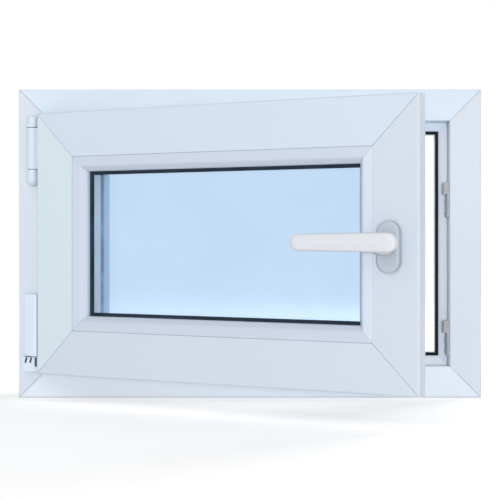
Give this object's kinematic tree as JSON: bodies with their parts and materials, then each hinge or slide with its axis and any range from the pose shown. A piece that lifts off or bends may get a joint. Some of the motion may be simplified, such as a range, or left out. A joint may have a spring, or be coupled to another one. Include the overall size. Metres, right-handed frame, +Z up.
{
  "type": "plastic casement window",
  "caption": "White plastic side-hung window standing open: mitred welded frame and sash, sealed glass unit, lever handle on a rosette, covered hinges, seals and locking hardware.",
  "frame": {"origin": "middle of the frame's underside, halfway along and halfway through its depth", "axes": "+X along the frame to the right as seen from the room, +Y from the room to the outside, +Z up"},
  "size_m": [0.6, 0.3881, 0.4],
  "materials": {
    "frame_plastic": "satin white extrusion",
    "sash_plastic": "satin white extrusion",
    "bead_plastic": "satin white extrusion",
    "seal_rubber": "matt black",
    "clear_glass": "clear float",
    "spacer_grey": "dark grey warm-edge bar",
    "handle_paint": "white powder coat",
    "hinge_plastic": "white moulding",
    "hinge_steel": "dark bright zinc",
    "zinc_steel": "silver zinc plate",
    "drain_plastic": "white moulding"
  },
  "bodies": {
    "root": {"frame_head": "frame_plastic", "frame_sill": "frame_plastic", "frame_hinge_jamb": "frame_plastic", "frame_lock_jamb": "frame_plastic", "sash_top_rail": "sash_plastic", "sash_bottom_rail": "sash_plastic", "sash_hinge_stile": "sash_plastic", "sash_lock_stile": "sash_plastic", "bead_top": "bead_plastic", "bead_bottom": "bead_plastic", "bead_hinge_side": "bead_plastic", "bead_lock_side": "bead_plastic", "frame_seal": "seal_rubber", "sash_seal": "seal_rubber", "glazing_seal_inner": "seal_rubber", "glazing_seal_outer": "seal_rubber", "glass_inner_pane": "clear_glass", "glass_outer_pane": "clear_glass", "glass_spacer": "spacer_grey", "handle_rosette": "handle_paint", "handle_lever": "handle_paint", "lower_hinge_cover": "hinge_plastic", "lower_hinge_bracket": "hinge_plastic", "upper_hinge_bearing": "hinge_plastic", "upper_hinge_sleeve": "hinge_plastic", "upper_hinge_pin": "hinge_steel", "lower_hinge_pin": "hinge_steel", "lower_hinge_band": "hinge_steel", "lower_hinge_adjusters": "hinge_steel", "handle_spindle": "zinc_steel", "lock_faceplate": "zinc_steel", "top_faceplate": "zinc_steel", "stay_arm": "zinc_steel", "lock_cam_upper": "zinc_steel", "lock_cam_lower": "zinc_steel", "head_cam": "zinc_steel", "striker_upper": "zinc_steel", "striker_lower": "zinc_steel", "striker_head": "zinc_steel", "drain_cap_left": "drain_plastic", "drain_cap_right": "drain_plastic"}
  },
  "joints": []
}
